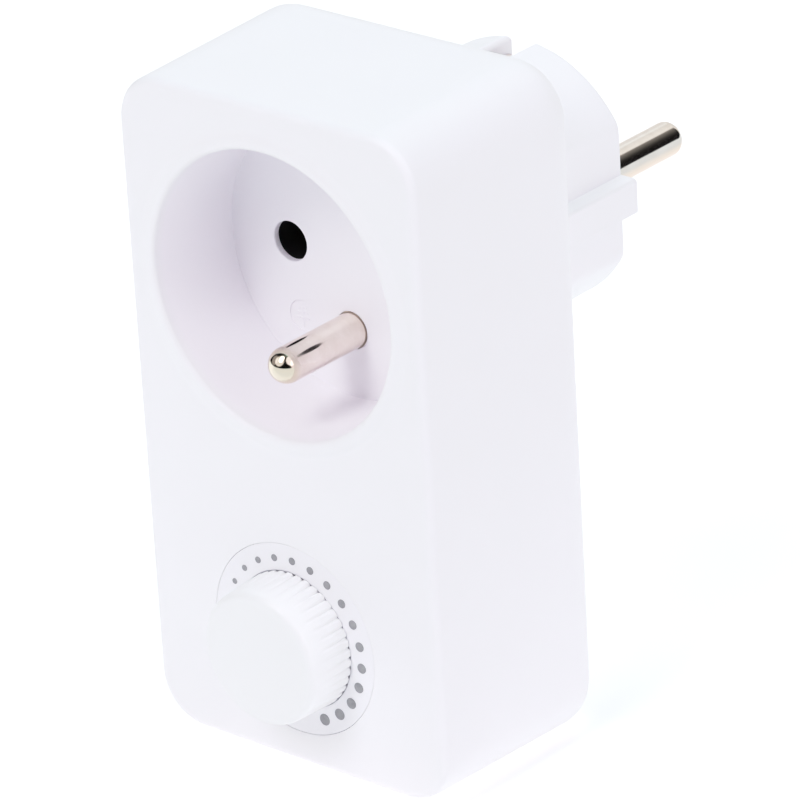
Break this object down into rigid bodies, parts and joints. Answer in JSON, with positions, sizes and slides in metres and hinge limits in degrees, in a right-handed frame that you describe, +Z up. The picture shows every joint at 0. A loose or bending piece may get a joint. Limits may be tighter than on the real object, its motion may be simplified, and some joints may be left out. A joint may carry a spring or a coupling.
{
  "type": "plug-in dimmer",
  "caption": "White plug-in lamp dimmer: a mains plug on the back, a round recessed socket with an earth pin on the front, and a fluted rotary knob with a dotted dial below it.",
  "frame": {"origin": "centre of the plug's seating face, between its two mains pins", "axes": "+Y into the wall along the mains pins, +Z up, +X to the right of someone who looks at the front"},
  "size_m": [0.0498, 0.0764, 0.0926],
  "materials": {
    "white_plastic": "satin moulded, very fine texture",
    "dial_plastic": "smooth satin",
    "knob_plastic": "smooth satin",
    "print_grey": "printed ink",
    "nickel": "polished nickel plate",
    "brass": "bright",
    "screw_steel": "zinc plated",
    "shaft_steel": "turned",
    "pot_steel": "stamped sheet",
    "phenolic": "pressed laminate",
    "carbon": "carbon film",
    "black_plastic": "moulded",
    "board_green": "solder mask",
    "aluminium": "extruded",
    "ferrite": "sintered",
    "copper": "enamelled wire",
    "film_yellow": "cast box",
    "film_red": "dipped",
    "resistor_tan": "lacquered",
    "diac_blue": "glass bead, painted",
    "fuse_glass": "clear",
    "wire_brown": "soft insulation",
    "wire_black": "soft insulation"
  },
  "bodies": {
    "case": {"front_housing": "white_plastic", "back_cover": "white_plastic", "housing_screws": "screw_steel", "socket_well": "white_plastic", "socket_earth_pin": "nickel", "contact_carrier": "black_plastic", "contact_left": "brass", "contact_right": "brass", "neutral_link": "brass", "earth_link": "brass", "dial_plate": "dial_plastic", "scale_dots": "print_grey", "pot_bushing": "brass", "pot_body": "pot_steel", "pot_back": "phenolic", "pot_track": "carbon", "circuit_board": "board_green", "board_screws": "screw_steel", "triac": "black_plastic", "heat_sink": "aluminium", "choke_core": "ferrite", "choke_winding": "copper", "suppression_capacitor": "film_yellow", "timing_capacitor": "film_red", "resistors": "resistor_tan", "diac": "diac_blue", "fuse_tube": "fuse_glass", "fuse_caps": "nickel", "fuse_clips": "brass", "line_wire": "wire_brown", "load_wire": "wire_black", "plug_body": "white_plastic", "plug_pin_left": "nickel", "plug_pin_right": "nickel", "plug_earth_socket": "nickel", "plug_clip_top": "nickel", "plug_clip_bottom": "nickel"},
    "knob": {"dimmer_knob": "knob_plastic", "dimmer_shaft": "shaft_steel", "pot_wiper": "brass"}
  },
  "joints": [
    {"name": "knob_turn", "type": "hinge", "parent": "case", "child": "knob", "pos_m": [0, -0.0515, -0.04725], "axis": [0, 1, 0], "range_deg": [0, 300]}
  ]
}
